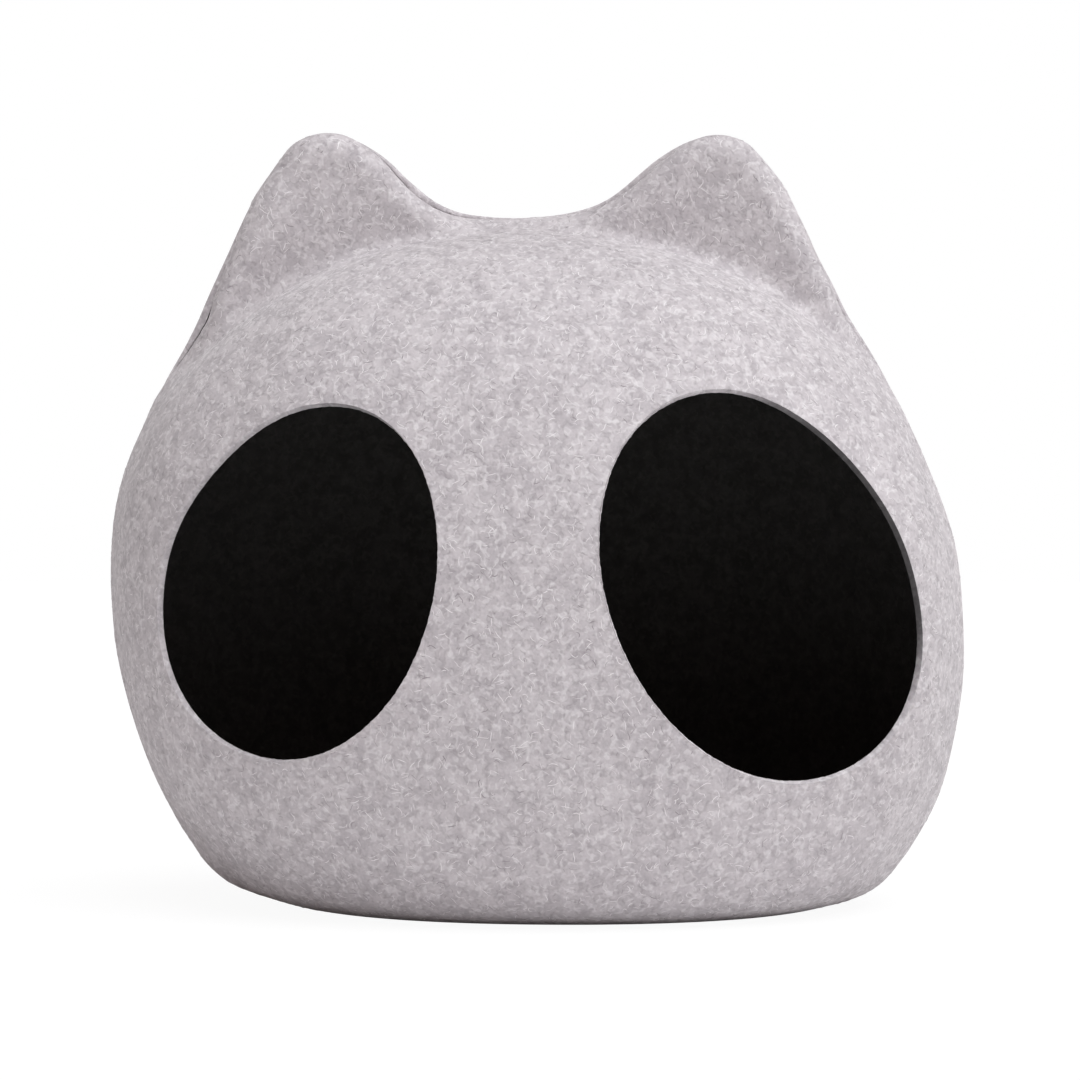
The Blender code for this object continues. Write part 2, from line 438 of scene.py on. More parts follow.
@dataclass
class FrontSheet:
    """The front half's outer face as a grid of even cells, wrapped from a square.

    cells is how many the square has along a side, an even number. The grid has its points, its
    four-sided faces and, in order, the numbers of its points on the seam.
    """

    form: BodyForm
    cells: int
    seam_steps: int = 4320
    points: Array = field(init=False)
    quads: Array = field(init=False)
    seam: Array = field(init=False)

    def __post_init__(self) -> None:
        """Lays out the grid."""
        form, cells = self.form, self.cells
        table = FrontMap(form).lines()
        side = np.linspace(-1, 1, cells + 1)
        across, up = np.meshgrid(side, side, indexing="ij")
        reach, turn = self.square_to_disc(across.ravel(), up.ravel())
        self.points = self.look_up(table, reach, self.angle_at(turn, reach))
        border = (np.abs(across.ravel()) == 1) | (np.abs(up.ravel()) == 1)
        self.points[border, 1] = 0
        self.points = form.settle(self.points)
        self.points[border, 1] = 0
        corner = np.arange((cells + 1) ** 2).reshape(cells + 1, cells + 1)
        quads = [corner[:-1, :-1], corner[:-1, 1:], corner[1:, 1:], corner[1:, :-1]]
        self.quads = np.stack([q.ravel() for q in quads], axis=1)
        self.seam = np.concatenate([corner[0, :-1], corner[:-1, -1], corner[-1, :0:-1], corner[:0:-1, 0]])

    @staticmethod
    def square_to_disc(across: Array, up: Array) -> tuple[Array, Array]:
        """Wraps a square of side 2 onto a disc, ring by ring.

        Args:
            across: first coordinate, -1 to 1.
            up: second coordinate, -1 to 1.

        Returns:
            Share of the way from the disc's middle to its edge, and share of a turn.
        """
        wide = np.abs(across) > np.abs(up)
        reach = np.where(wide, across, up)
        safe = np.where(reach == 0, 1, reach)
        eighth = np.where(wide, up / safe, 2 - across / safe) / 8
        turn = np.where(reach < 0, eighth + 0.5, eighth)
        return np.abs(reach), turn % 1

    def angle_at(self, turn: Array, reach: Array) -> Array:
        """Angle round the pole: even angles at the pole, even lengths along the seam.

        Args:
            turn: share of a turn.
            reach: share of the way from the pole to the seam.

        Returns:
            Angles in radians.
        """
        fine = np.linspace(0, 2 * math.pi, self.seam_steps + 1)
        legs = np.linalg.norm(np.diff(self.form.seam_points(fine), axis=0), axis=1)
        travel = np.concatenate([[0], np.cumsum(legs)])
        at_seam = np.interp(turn, travel / travel[-1], fine)
        return (1 - reach) * turn * 2 * math.pi + reach * at_seam

    @staticmethod
    def look_up(table: Array, reach: Array, angle: Array) -> Array:
        """Reads places from the table of lines, between its entries.

        Args:
            table: (angles, rows + 1, 3) places from the pole to the seam.
            reach: share of the way from the pole to the seam.
            angle: angles round the pole, in radians.

        Returns:
            One place for each reach and angle.
        """
        lines, rows = table.shape[0], table.shape[1] - 1
        line = angle / (2 * math.pi) * lines
        row = reach * rows
        low_line = np.floor(line).astype(int)
        low_row = np.minimum(np.floor(row).astype(int), rows - 1)
        line_share = (line - low_line)[:, None]
        row_share = (row - low_row)[:, None]
        first, second = low_line % lines, (low_line + 1) % lines
        near = table[first, low_row] * (1 - row_share) + table[first, low_row + 1] * row_share
        far = table[second, low_row] * (1 - row_share) + table[second, low_row + 1] * row_share
        return near * (1 - line_share) + far * line_share


@dataclass(frozen=True)
class SeamStep:
    """A stretch of the seam where the front rim is drawn in by depth, under the back rim's lip.

    x and z are its middle, above and below how far up and down it fades out, and lip how much of
    the back rim's edge shows.
    """

    x: float
    z: float
    above: float
    below: float
    depth: float
    lip: float

    def share(self, places: Array) -> Array:
        """How much of the stretch's step there is.

        Args:
            places: places that have been leaned.

        Returns:
            1 in the middle of the stretch, falling to 0 at its ends.
        """
        from_z = places[..., 2] - self.z
        reach = np.where(from_z > 0, self.above, self.below)
        return np.maximum(1 - np.hypot(places[..., 0] - self.x, from_z) / reach, 0)


@dataclass(frozen=True)
class Swell:
    """A place at the seam where the felt stands out, or in where height is negative."""

    x: float
    z: float
    reach: float
    height: float


@dataclass(frozen=True)
class SoftStand:
    """How the soft felt stands: leaning a little, gently uneven, with its rims not quite in line."""

    lean_height: float = 0.180
    lean_slope: float = -0.053
    lean_curve: float = 0.122
    wave_height: float = 0.0006
    still_within: float = 0.015
    waves_from: float = 0.080
    shortest_wave: float = 0.055
    longest_wave: float = 0.160
    waves: int = 16
    seed: int = 11
    level_below: float = 0.030
    rim_reach: float = 0.070
    steps: tuple[SeamStep, ...] = (
        SeamStep(x=-0.159, z=0.285, above=0.085, below=0.046, depth=0.0056, lip=0.0040),
        SeamStep(x=-0.052, z=0.352, above=0.046, below=0.060, depth=0.0038, lip=0.0037),
        SeamStep(x=0.052, z=0.358, above=0.046, below=0.060, depth=0.0038, lip=0.0037),
        SeamStep(x=0.156, z=0.288, above=0.050, below=0.050, depth=0.0022, lip=0.0021),
    )
    swell_depth: float = 0.070
    swells: tuple[Swell, ...] = (
        Swell(x=-0.152, z=0.008, reach=0.030, height=0.0048),
        Swell(x=-0.166, z=0.028, reach=0.026, height=0.0018),
        Swell(x=-0.194, z=0.085, reach=0.050, height=-0.0017),
        Swell(x=-0.203, z=0.203, reach=0.035, height=0.0006),
        Swell(x=-0.178, z=0.258, reach=0.034, height=0.0015),
        Swell(x=-0.160, z=0.292, reach=0.030, height=0.0013),
        Swell(x=-0.140, z=0.336, reach=0.034, height=0.0017),
        Swell(x=-0.127, z=0.359, reach=0.018, height=-0.0024),
        Swell(x=-0.101, z=0.377, reach=0.026, height=0.0015),
        Swell(x=-0.040, z=0.340, reach=0.020, height=-0.0006),
        Swell(x=0.067, z=0.368, reach=0.024, height=-0.0013),
        Swell(x=0.116, z=0.362, reach=0.017, height=-0.0019),
        Swell(x=0.127, z=0.343, reach=0.014, height=0.0003),
        Swell(x=0.142, z=0.314, reach=0.018, height=-0.0008),
        Swell(x=0.165, z=0.270, reach=0.026, height=0.0011),
        Swell(x=0.193, z=0.213, reach=0.046, height=-0.0021),
        Swell(x=0.206, z=0.082, reach=0.036, height=-0.0010),
        Swell(x=0.187, z=0.036, reach=0.026, height=-0.0004),
    )

    def lip_width(self, points: Array) -> Array:
        """How wide the back rim's lip is at these points on the seam."""
        leaned = self.lean(points)
        return np.max([step.lip * step.share(leaned) for step in self.steps], axis=0)

    def lean(self, points: Array) -> Array:
        """Gives points the body's lean to its left.

        Args:
            points: places on the upright body.

        Returns:
            The leaned places.
        """
        rise = points[..., 2] - self.lean_height
        leaned = points.copy()
        leaned[..., 0] += self.lean_slope * rise + self.lean_curve * rise * rise
        return leaned

    def swelling(self, points: Array) -> Array:
        """How far the felt stands out of its even form near the seam.

        Args:
            points: places on the upright body.

        Returns:
            The height at each, negative where the felt is sunk in.
        """
        leaned = self.lean(points)
        height = np.zeros(points.shape[:-1])
        for swell in self.swells:
            away = np.hypot(leaned[..., 0] - swell.x, leaned[..., 2] - swell.z) / swell.reach
            height += swell.height * np.maximum(1 - away * away, 0) ** 2
        near = np.maximum(1 - np.abs(points[..., 1]) / self.swell_depth, 0)
        return height * near * near * (3 - 2 * near)

    def unevenness(self, points: Array) -> Array:
        """Height of the felt's gentle waves; there are none near the floor or the seam.

        Args:
            points: places on the upright body.

        Returns:
            The height at each, negative in a trough.
        """
        rng = np.random.default_rng(self.seed)
        height = np.zeros(points.shape[:-1])
        for _ in range(self.waves):
            length = rng.uniform(self.shortest_wave, self.longest_wave)
            along = unit(rng.normal(size=3)) * 2 * math.pi / length
            height += np.cos(points @ along + rng.uniform(0, 2 * math.pi))
        height *= self.wave_height / math.sqrt(self.waves / 2)
        height *= smooth_step(np.abs(points[..., 1]), self.still_within, self.waves_from)
        return height * smooth_step(points[..., 2], 0, self.level_below)

    def rim_draw(self, points: Array) -> Array:
        """How far the front rim is drawn in.

        Args:
            points: places on the upright body.

        Returns:
            The depth at each, 0 away from the rim.
        """
        leaned = self.lean(points)
        depth = np.max([step.depth * step.share(leaned) for step in self.steps], axis=0)
        near = np.maximum(1 - (points[..., 1] / self.rim_reach) ** 2, 0)
        return depth * near * near * smooth_step(points[..., 2], 0, self.level_below)

    def stand(self, points: Array, normals: Array, half: Half) -> Array:
        """Takes points of the upright front half to where they stand.

        Args:
            points: places on or near the front half's upright surface.
            normals: the surface's normals there.
            half: which half they belong to.

        Returns:
            Their places on the finished half.
        """
        mirror = np.array([1, -half.value, 1])
        raised = self.unevenness(points * mirror) + self.swelling(points)
        off_floor = np.ones_like(points)
        off_floor[..., 2] = smooth_step(points[..., 2], 0, self.level_below)
        moved = points + raised[..., None] * normals * off_floor
        if half is Half.FRONT:
            drawn = self.rim_draw(points)[..., None]
            moved = moved - drawn * normals * [1, 0, 1]
        return self.lean(moved * mirror)


@dataclass
class Skin:
    """One face of a shell before it stands: upright places, faces and the loops where it was cut."""

    points: Array
    normals: Array
    faces: list[tuple[int, ...]]
    loops: list[Array]
    outwards: list[Array]


@dataclass
class FeltShell:
    """One pressed half of the cave, as a closed sheet with rounded edges.

    At the seam the back rim ends in a lip, rounded on its outside, and steps down inside it; the
    front rim has a low tongue that fits under the lip, so that no light shows through the seam.
    An opening is cut square to the felt, a little raggedly, and its cut edge keeps how far it
    is turned to the shade, as a value from -1 to 1 at each point, from which the cut edge's
    material paints shade. tongue_turns are the places round the front rim's rounded edge, in radians.
    """

    form: BodyForm
    stand: SoftStand
    half: Half
    openings: tuple[Opening, ...] = ()
    thickness: float = 3.2 * MM
    seam_gap: float = 0.3 * MM
    seam_round: float = 0.5 * MM
    lip_round: float = 1.7 * MM
    lip_narrowest: float = 0.8 * MM
    lip_drop: float = 2.1 * MM
    lip_slope: float = 0.06 * MM
    lip_past_felt: float = 0.8 * MM
    lip_fade: float = 0.5 * MM
    tongue_from: float = 1.2 * MM
    tongue_rise: float = 1.1 * MM
    tongue_turns: tuple[float, ...] = (0.52, 1.05, 1.57)
    cut_round: float = 0.35 * MM
    rim_steps: int = 1440
    rim_points: int = 380
    ring_reaches: tuple[float, ...] = (0.55 * MM, 0.9 * MM, 2.4 * MM, 4.5 * MM, 7.2 * MM, 10.4 * MM)
    clear_round: float = 2.0 * MM
    ragged: float = 0.14 * MM
    ragged_waves: tuple[int, ...] = (9, 41, 97, 149)
    # the direction a cut edge faces where the shade painted on it is darkest
    painted_shade_side: Place = (-0.55, -0.72, -0.42)
    skin: Skin = field(init=False)

    def build(
        self, name: str, sheet: FrontSheet, shift: float, materials: dict[Side, bpy.types.Material]
    ) -> bpy.types.Object:
        """Makes the shell.

        Args:
            name: the piece's name.
            sheet: the front half's outer face.
            shift: how far the leaned body moves along x to stand centred.
            materials: felt for each side; the rims at the seam are part of the outer side.

        Returns:
            The shell as an object.
        """
        self.skin = self.cut_skin(sheet)
        skin = self.skin
        count = len(skin.points)
        points = [skin.points, skin.points - self.thickness * skin.normals]
        normals = [skin.normals, skin.normals]
        turned = [np.zeros(2 * count)]
        faces = list(skin.faces)
        faces += [tuple(count + i for i in reversed(face)) for face in skin.faces]
        sides = [Side.OUTER] * len(skin.faces) + [Side.INNER] * len(skin.faces)
        start = 2 * count
        seam_rings = self.tongue_rings if self.half is Half.FRONT else self.lip_rings
        for number, (loop, outwards) in enumerate(zip(skin.loops, skin.outwards)):
            rings = self.cut_rings(loop, outwards) if number > 0 else seam_rings(loop, outwards)
            ids = [loop]
            for ring in rings:
                ids.append(np.arange(start, start + len(loop)))
                points.append(ring)
                normals.append(skin.normals[loop])
                # cut rings keep how far they face the painted shade's side; the seam's rings keep 0
                turned.append(outwards @ np.array(self.painted_shade_side) * (number > 0))
                start += len(loop)
            ids.append(loop + count)
            for upper, lower in zip(ids, ids[1:]):
                faces += list(zip(upper, lower, np.roll(lower, -1), np.roll(upper, -1)))
                sides += [Side.CUT if number > 0 else Side.OUTER] * len(loop)
        placed = self.stand.stand(np.concatenate(points), np.concatenate(normals), self.half)
        placed[:, 0] += shift
        if self.half is Half.BACK:
            faces = [tuple(reversed(face)) for face in faces]
        mesh = bpy.data.meshes.new(name)
        mesh.from_pydata(placed.tolist(), [], [tuple(int(i) for i in face) for face in faces])
        for side in Side:
            mesh.materials.append(materials[side])
        mesh.polygons.foreach_set("material_index", np.array(sides, np.int32))
        # the cut edge's material reads this to paint shade
        shade = mesh.attributes.new(TURNED_TO_SHADE, "FLOAT", "POINT")
        shade.data.foreach_set("value", np.concatenate(turned))
        mesh.shade_smooth()
        mesh.validate()
        made = bpy.data.objects.new(name, mesh)
        bpy.context.scene.collection.objects.link(made)
        return made

    def cut_skin(self, sheet: FrontSheet) -> Skin:
        """Takes the sheet, cuts the openings into it and draws its border back from the seam.

        Args:
            sheet: the front half's outer face.

        Returns:
            The shell's outer face, with its loops: the seam's first, then one for each opening.
        """
        points = sheet.points.copy()
        drawn_back = self.seam_round if self.half is Half.FRONT else self.lip_round
        points[sheet.seam, 1] = -(self.seam_gap / 2 + drawn_back)
        points[sheet.seam] = self.form.settle(points[sheet.seam])
        faces = [tuple(quad) for quad in sheet.quads]
        loops = [sheet.seam]
        outwards = [np.tile([0.0, 1.0, 0.0], (len(sheet.seam), 1))]
        for opening in self.openings:
            points, faces, loop, outward = self.cut_opening(points, faces, sheet.seam, opening)
            loops.append(loop)
            outwards.append(outward)
        used = np.unique(np.concatenate([np.array(face) for face in faces]))
        renumber = np.full(len(points), -1)
        renumber[used] = np.arange(len(used))
        points = points[used]
        faces = [tuple(renumber[list(face)]) for face in faces]
        loops = [renumber[loop] for loop in loops]
        normals = self.form.outward(points)
        return Skin(points, normals, self.turned_out(points, normals, faces), loops, outwards)

    @staticmethod
    def turned_out(points: Array, normals: Array, faces: list[tuple[int, ...]]) -> list[tuple[int, ...]]:
        """Turns each face's front outwards.

        Args:
            points: places of the skin.
            normals: outward directions there.
            faces: its faces, in any sense.

        Returns:
            The same faces, each in the order that makes its front look outwards.
        """
        turned = []
        for face in faces:
            a, b, c = points[face[0]], points[face[1]], points[face[2]]
            facing = np.cross(b - a, c - a) @ normals[face[0]]
            turned.append(face if facing > 0 else face[::-1])
        return turned

    def rim(self, opening: Opening) -> tuple[Array, Array]:
        """The opening's edge on the outer face.

        Args:
            opening: the oval.

        Returns:
            Evenly spaced places round it, and the unit directions there that lead away from it.
        """
        turn = np.linspace(0, 2 * math.pi, self.rim_steps + 1)
        x, z = opening.outline(turn)
        depth = self.form.first_crossing(lambda d: np.stack([x, -d, z], axis=1), len(turn))
        fine = np.stack([x, -depth, z], axis=1)
        travel = np.concatenate([[0], np.cumsum(np.linalg.norm(np.diff(fine, axis=0), axis=1))])
        even = np.arange(self.rim_points) / self.rim_points * travel[-1]
        rim = self.form.settle(np.stack([np.interp(even, travel, fine[:, i]) for i in range(3)], axis=1))
        along = unit(np.roll(rim, -1, axis=0) - np.roll(rim, 1, axis=0))
        away = unit(np.cross(along, self.form.outward(rim)))
        leads_away = ((rim - rim.mean(axis=0)) * away).sum(axis=1).mean() > 0
        return rim, away if leads_away else -away

    def cut_opening(
        self, points: Array, faces: list[tuple[int, ...]], seam: Array, opening: Opening
    ) -> tuple[Array, list[tuple[int, ...]], Array, Array]:
        """Cuts one oval into the grid and lays rings of faces round it.

        Args:
            points: places of the skin so far.
            faces: its faces.
            seam: numbers of the points on the seam, which isn't cut.
            opening: the oval.

        Returns:
            The new places and faces, the numbers of the points round the cut, and the unit
            directions there that lead into the opening.
        """
        rim, away = self.rim(opening)
        rings = [self.form.settle(rim + reach * away) for reach in self.ring_reaches]
        kept_clear = rim + (self.ring_reaches[-1] + self.clear_round) * away
        removed = inside_outline(points[:, [0, 2]], kept_clear[:, [0, 2]])
        kept = [face for face in faces if not any(removed[i] for i in face)]
        border = self.hole_border(kept, set(int(i) for i in seam), rim.mean(axis=0), points)
        start = len(points)
        count = self.rim_points
        ids = [start + k * count + np.arange(count) for k in range(len(rings))]
        points = np.concatenate([points, *rings])
        for inner, outer in zip(ids, ids[1:]):
            kept += list(zip(inner, outer, np.roll(outer, -1), np.roll(inner, -1)))
        kept += self.fill_band(points, ids[-1], border)
        return points, kept, ids[0], -away

    @staticmethod
    def hole_border(faces: list[tuple[int, ...]], seam: set[int], middle: Array, points: Array) -> Array:
        """The loop of points round the hole nearest to a place.

        Args:
            faces: the faces that were kept.
            seam: numbers of the points on the seam.
            middle: a place in the hole.
            points: all places.

        Returns:
            The points' numbers in order.
        """
        sides: dict[tuple[int, int], int] = {}
        for face in faces:
            for a, b in zip(face, face[1:] + face[:1]):
                key = (min(a, b), max(a, b))
                sides[key] = sides.get(key, 0) + 1
        beside: dict[int, list[int]] = {}
        for (a, b), uses in sides.items():
            if uses == 1 and not (a in seam and b in seam):
                beside.setdefault(a, []).append(b)
                beside.setdefault(b, []).append(a)
        near = min(beside, key=lambda i: float(np.linalg.norm(points[i] - middle)))
        loop = [near, beside[near][0]]
        while loop[-1] != near:
            a, b = beside[loop[-1]]
            loop.append(b if a == loop[-2] else a)
        return np.array(loop[:-1])

    @staticmethod
    def fill_band(points: Array, ring: Array, border: Array) -> list[tuple[int, ...]]:
        """Fills the band between a ring and the stepped border of the grid with triangles.

        Args:
            points: all places.
            ring: numbers of the points on the inner ring.
            border: numbers of the points on the grid's border round it.

        Returns:
            The triangles.
        """
        ids = np.concatenate([ring, border])
        flat = points[ids][:, [0, 2]]
        split = len(ring)
        edges = [(i, (i + 1) % split) for i in range(split)]
        edges += [(split + i, split + (i + 1) % len(border)) for i in range(len(border))]
        found = geometry.delaunay_2d_cdt([Vector(p) for p in flat.tolist()], edges, [], 0, 1e-9)
        triangles = np.array([[found[3][i][0] for i in face] for face in found[2]])
        middles = flat[triangles].mean(axis=1)
        between = inside_outline(middles, flat[split:]) & ~inside_outline(middles, flat[:split])
        return [tuple(ids[t]) for t in triangles[between]]

    def edge(self, loop: Array, outwards: Array) -> tuple[Array, Array, Array]:
        """Places, normals and directions away from the felt, square to the normals, along an edge."""
        points, normals = self.skin.points[loop], self.skin.normals[loop]
        return points, normals, unit(outwards - (outwards * normals).sum(axis=1, keepdims=True) * normals)

    def cut_rings(self, loop: Array, outwards: Array) -> list[Array]:
        """Rings of points over an opening's cut edge, from the outer face round to the inner face.

        Args:
            loop: numbers of the skin's points along the edge.
            outwards: unit directions there that lead away from the felt.

        Returns:
            The rings' places, without those on the two faces.
        """
        points, normals, outwards = self.edge(loop, outwards)
        round_the_oval = np.arange(len(loop)) / len(loop) * 2 * math.pi
        bite = np.zeros(len(loop))
        for waves in self.ragged_waves:
            bite += self.ragged / 2 * np.sin(waves * round_the_oval + waves * waves)
        rings = []
        for side, corner in ((1, self.cut_round), (-1, self.thickness - self.cut_round)):
            for degrees in (30, 60, 90)[::side]:
                turned = math.radians(degrees)
                rise = side * math.cos(turned) * self.cut_round - corner
                out = math.sin(turned) * (self.cut_round + bite)[:, None]
                rings.append(points + rise * normals + out * outwards)
        return rings

    def tongue_rings(self, loop: Array, outwards: Array) -> list[Array]:
        """Rings of points over the front rim: a rounded edge, then a tongue under the back rim's lip.

        Args:
            loop: numbers of the skin's points along the seam.
            outwards: unit directions there that lead away from the felt.

        Returns:
            The rings' places, without those on the two faces.
        """
        points, normals, outwards = self.edge(loop, outwards)
        radius, slope = self.seam_round, self.lip_slope
        start, top = self.tongue_from, radius + self.tongue_rise
        corner = 0.3 * radius
        profile = [(radius * (1 - math.cos(turn)), radius * math.sin(turn)) for turn in self.tongue_turns]
        profile += [(radius + slope, radius), (start - slope, radius), (start, radius)]
        profile += [(start + slope, top), (self.thickness - radius, top)]
        profile += [(self.thickness - corner, top - corner), (self.thickness, top - radius)]
        return [points - drop * normals + out * outwards for drop, out in profile]

    def lip_rings(self, loop: Array, outwards: Array) -> list[Array]:
        """Rings of points over the back rim: a lip that stands proud, then a step down to the inside.

        Args:
            loop: numbers of the skin's points along the seam.
            outwards: unit directions there that lead away from the felt.

        Returns:
            The rings' places, without those on the two faces.
        """
        points, normals, outwards = self.edge(loop, outwards)
        widest = self.thickness + self.lip_past_felt
        lip = np.clip(self.stand.lip_width(points), self.lip_narrowest, widest)[:, None]
        rings = []
        for degrees in (18, 36, 54, 72, 90):
            turned = math.radians(degrees)
            out = self.lip_round * math.sin(turned)
            rings.append(points - lip * (1 - math.cos(turned)) * normals + out * outwards)
        floor = self.lip_round - self.lip_drop * np.clip((self.thickness - lip) / self.lip_fade, 0, 1)
        inner = np.maximum(self.thickness - self.lip_slope, lip + 2 * self.lip_slope)
        rings.append(points - (lip + self.lip_slope) * normals + floor * outwards)
        rings.append(points - inner * normals + floor * outwards)
        return rings


@dataclass(frozen=True)
class FibreKind:
    """One tone of the fibres that lie curled on the felt."""

    count: int
    shortest: float
    longest: float
    half_width: float
    height: float
    curl: float
    loft: float


PALE_FIBRES = FibreKind(
    count=4800,
    shortest=2.5 * MM,
    longest=7 * MM,
    half_width=0.18 * MM,
    height=0.06 * MM,
    curl=240,
    loft=0.2 * MM,
)
DARK_FIBRES = FibreKind(
    count=1800,
    shortest=2 * MM,
    longest=6 * MM,
    half_width=0.16 * MM,
    height=0.06 * MM,
    curl=240,
    loft=0.15 * MM,
)


@dataclass(frozen=True)
class FibreCoat:
    """Curled fibres and small tufts, half sunk into the outer face of one shell that has been built.

    Each fibre has this many steps, and wander is how much its curl varies, in radians a step. A
    face whose normal points further down than underside is floor, and gets none.
    """

    shell: FeltShell
    shift: float
    steps: int = 5
    sunk: float = 0.06 * MM
    wander: float = 0.35
    width_spread: Range = (0.7, 1.3)
    seam_clearance: float = 1.0 * MM
    cut_clearance: float = 0.3 * MM
    underside: float = -0.97

    def start_places(self, count: int, rng: np.random.Generator) -> Array:
        """Random places, spread evenly over the shell's outer face but not its floor.

        Args:
            count: how many.
            rng: random numbers.

        Returns:
            (count, 3) places.
        """
        skin = self.shell.skin
        triangles = np.array([[f[0], f[i], f[i + 1]] for f in skin.faces for i in range(1, len(f) - 1)])
        low = skin.normals[triangles[:, 0], 2] < self.underside
        triangles = triangles[~low]
        a, b, c = (skin.points[triangles[:, i]] for i in range(3))
        area = np.linalg.norm(np.cross(b - a, c - a), axis=1)
        pick = np.searchsorted(np.cumsum(area), rng.uniform(0, area.sum(), count))
        pick = np.minimum(pick, len(triangles) - 1)
        s, t = np.sqrt(rng.uniform(size=count)), rng.uniform(size=count)
        share = np.stack([1 - s, s * (1 - t), s * t], axis=1)
        return share[:, :1] * a[pick] + share[:, 1:2] * b[pick] + share[:, 2:] * c[pick]

    def paths(self, kind: FibreKind, rng: np.random.Generator) -> tuple[Array, Array, Array]:
        """Walks each fibre over the surface in a curl.

        Args:
            kind: the fibres' sizes.
            rng: random numbers.

        Returns:
            Places, surface normals and sideways directions, each (fibres, steps + 1, 3).
        """
        form = self.shell.form
        here = form.settle(self.start_places(kind.count, rng))
        normal = form.outward(here)
        heading = unit(np.cross(normal, rng.normal(size=here.shape)))
        length = rng.uniform(kind.shortest, kind.longest, kind.count)
        bend = rng.normal(0, kind.curl, kind.count)
        places, normals, sideways = [], [], []
        for _ in range(self.steps + 1):
            places.append(here)
            normals.append(normal)
            sideways.append(np.cross(normal, heading))
            turn = bend * length / self.steps + rng.normal(0, self.wander, kind.count)
            heading = np.cos(turn)[:, None] * heading + np.sin(turn)[:, None] * sideways[-1]
            here = form.settle(here + (length / self.steps)[:, None] * heading, rounds=1)
            normal = form.outward(here)
            heading = unit(heading - (heading * normal).sum(axis=1, keepdims=True) * normal)
        return np.stack(places, axis=1), np.stack(normals, axis=1), np.stack(sideways, axis=1)

    def on_felt(self, places: Array) -> Array:
        """Tells which fibres stay clear of the seam and the openings over their whole length.

        Args:
            places: (fibres, steps + 1, 3) places.

        Returns:
            One truth value for each fibre.
        """
        clear = (places[..., 1] < -self.seam_clearance).all(axis=1)
        for opening in self.shell.openings:
            rim, away = self.shell.rim(opening)
            edge = (rim + self.cut_clearance * away)[:, [0, 2]]
            within = inside_outline(places[..., [0, 2]].reshape(-1, 2), edge)
            clear &= ~within.reshape(places.shape[:2]).any(axis=1)
        return clear

    def build(
        self, name: str, kind: FibreKind, seed: int, material: bpy.types.Material
    ) -> bpy.types.Object:
        """Makes one joined mesh of fibres.

        Args:
            name: the piece's name.
            kind: the fibres' sizes.
            seed: starts the random draws.
            material: their finish.

        Returns:
            The fibres as an object.
        """
        rng = np.random.default_rng(seed)
        places, normals, sideways = self.paths(kind, rng)
        clear = self.on_felt(places)
        places, normals, sideways = places[clear], normals[clear], sideways[clear]
        count, steps = len(places), self.steps
        width = kind.half_width * rng.uniform(*self.width_spread, (count, 1, 1))
        lofted = kind.loft * rng.uniform(0, 1, (count, 1, 1)) ** 4
        arch = np.sin(np.linspace(0, math.pi, steps + 1))[None, :, None]
        taper = np.sqrt(arch)
        foot = places + (lofted * arch - self.sunk) * normals
        crest = places + (lofted * arch + kind.height * taper - self.sunk * (1 - taper)) * normals
        left, right = foot - width * taper * sideways, foot + width * taper * sideways
        rows = np.stack([left, crest, right], axis=2)
        middle = rows[:, 1:-1].reshape(count, -1, 3)
        points = np.concatenate([foot[:, :1], middle, foot[:, -1:]], axis=1)
        bent = np.repeat(normals[:, 1:-1], 3, axis=1)
        directions = np.concatenate([normals[:, :1], bent, normals[:, -1:]], axis=1)
        placed = self.shell.stand.stand(points.reshape(-1, 3), directions.reshape(-1, 3), self.shell.half)
        placed[:, 0] += self.shift
        triangles = self.strand_triangles()
        if self.shell.half is Half.BACK:
            triangles = triangles[:, ::-1]
        faces = (triangles[None] + np.arange(count)[:, None, None] * points.shape[1]).reshape(-1, 3)
        mesh = bpy.data.meshes.new(name)
        mesh.vertices.add(len(placed))
        mesh.vertices.foreach_set("co", placed.astype(np.float32).ravel())
        mesh.loops.add(faces.size)
        mesh.loops.foreach_set("vertex_index", faces.astype(np.int32).ravel())
        mesh.polygons.add(len(faces))
        mesh.polygons.foreach_set("loop_start", np.arange(0, faces.size, 3, dtype=np.int32))
        mesh.update(calc_edges=True)
        mesh.materials.append(material)
        mesh.shade_smooth()
        made = bpy.data.objects.new(name, mesh)
        bpy.context.scene.collection.objects.link(made)
        return made

    def strand_triangles(self) -> Array:
        """Lays out one fibre: a low ridge that runs to a point at both ends.

        Returns:
            Its triangles, as numbers of its points.
        """
        last = 3 * (self.steps - 1) + 1
        faces = [(0, 2, 1), (0, 3, 2)]
        for k in range(self.steps - 2):
            a = 1 + 3 * k
            for side in (0, 1):
                i, j = a + side, a + side + 1
                faces += [(i, j, j + 3), (i, j + 3, i + 3)]
        faces += [(last, last - 3, last - 2), (last, last - 2, last - 1)]
        return np.array(faces)


def add_node(
    tree: bpy.types.NodeTree, kind: str, inputs: dict[str | int, object] | None = None, **settings: object
) -> bpy.types.Node:
    """Adds a node with its settings and links.

    Args:
        tree: where it goes.
        kind: the node's type.
        inputs: value or linked output for each input, by name or number.
        settings: the node's own properties.

    Returns:
        The node.
    """
    node = tree.nodes.new(kind)
    for name, value in settings.items():
        setattr(node, name, value)
    for name, value in (inputs or {}).items():
        if isinstance(value, bpy.types.NodeSocket):
            tree.links.new(value, node.inputs[name])
        else:
            node.inputs[name].default_value = value
    return node


